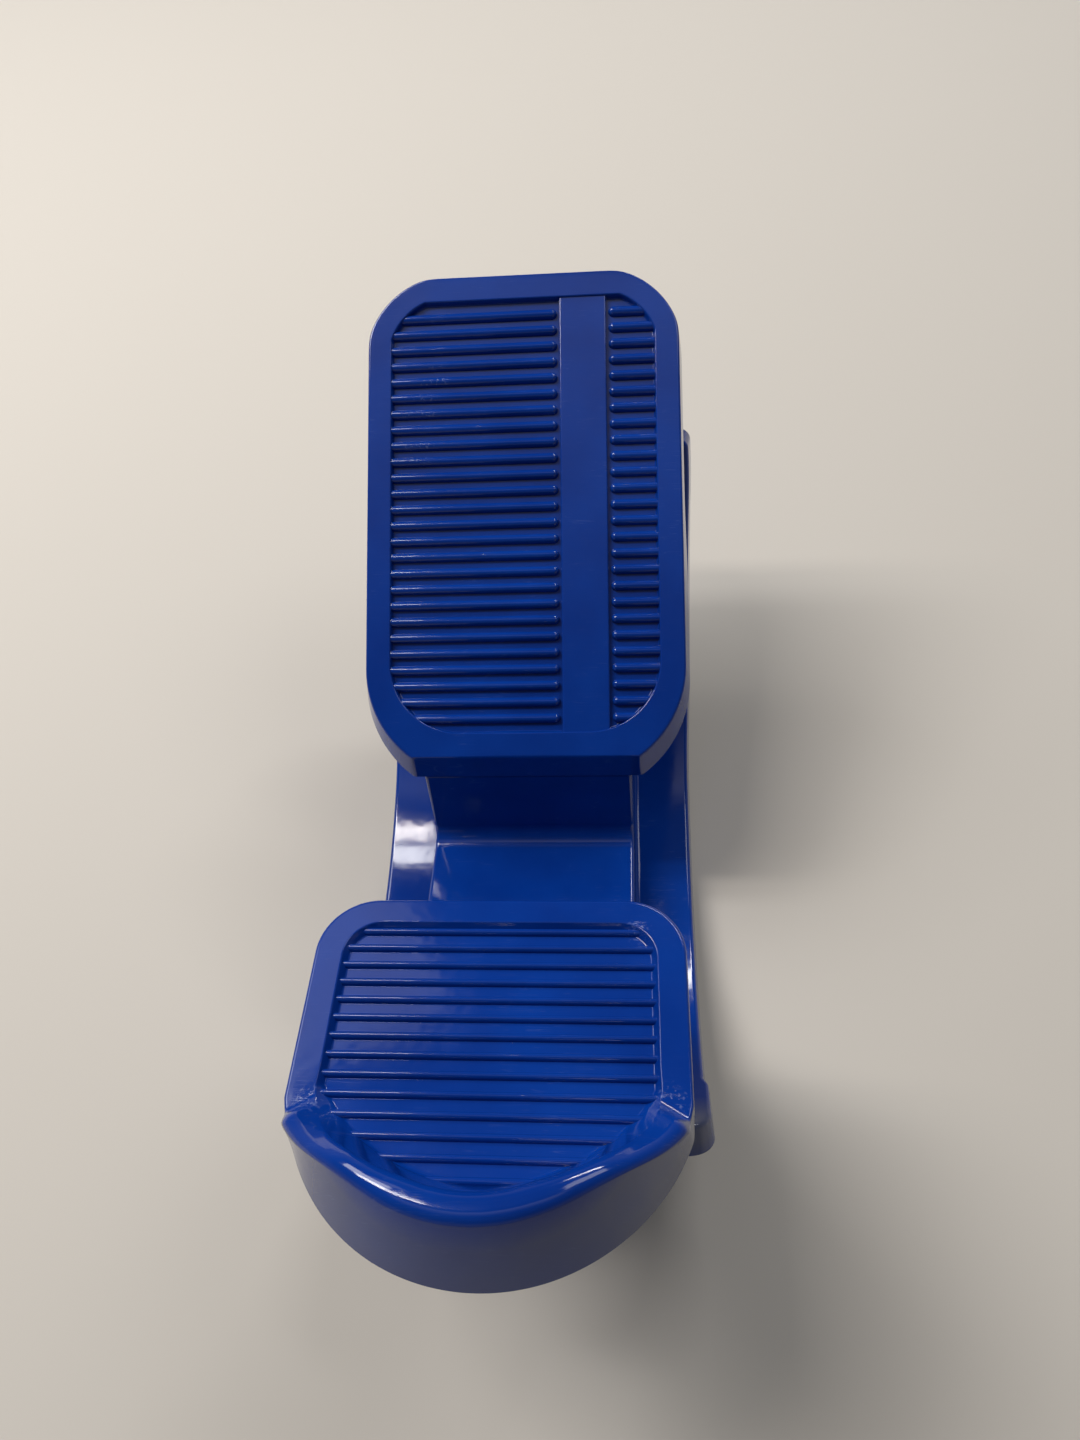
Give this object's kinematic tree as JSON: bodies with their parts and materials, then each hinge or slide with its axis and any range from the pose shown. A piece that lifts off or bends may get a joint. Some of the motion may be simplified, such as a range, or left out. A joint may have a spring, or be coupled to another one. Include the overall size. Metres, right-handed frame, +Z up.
{
  "type": "calf stretcher",
  "caption": "Rocking calf stretcher: curved sole, hollow pedestal with a valley, ribbed forefoot platform that tilts up and a ribbed heel platform with a cup.",
  "frame": {"origin": "on the floor under the middle of the object's bounding box, at rest", "axes": "+Z up, +Y from the heel cup towards the forefoot platform's raised tip, +X to the right of a foot that stands on it"},
  "size_m": [0.1364, 0.3517, 0.1695],
  "materials": {
    "moulded_body": "glossy royal-blue moulding with fine scuffs",
    "tread": "matte black rubber",
    "screws": "zinc-plated steel"
  },
  "bodies": {
    "root": {"rocker_frame": "moulded_body", "forefoot_platform": "moulded_body", "heel_platform": "moulded_body", "sole_plate": "moulded_body", "sole_tread": "tread", "forefoot_screw_1": "screws", "forefoot_screw_2": "screws", "forefoot_screw_3": "screws", "forefoot_screw_4": "screws", "heel_screw_1": "screws", "heel_screw_2": "screws", "heel_screw_3": "screws", "heel_screw_4": "screws"}
  },
  "joints": []
}
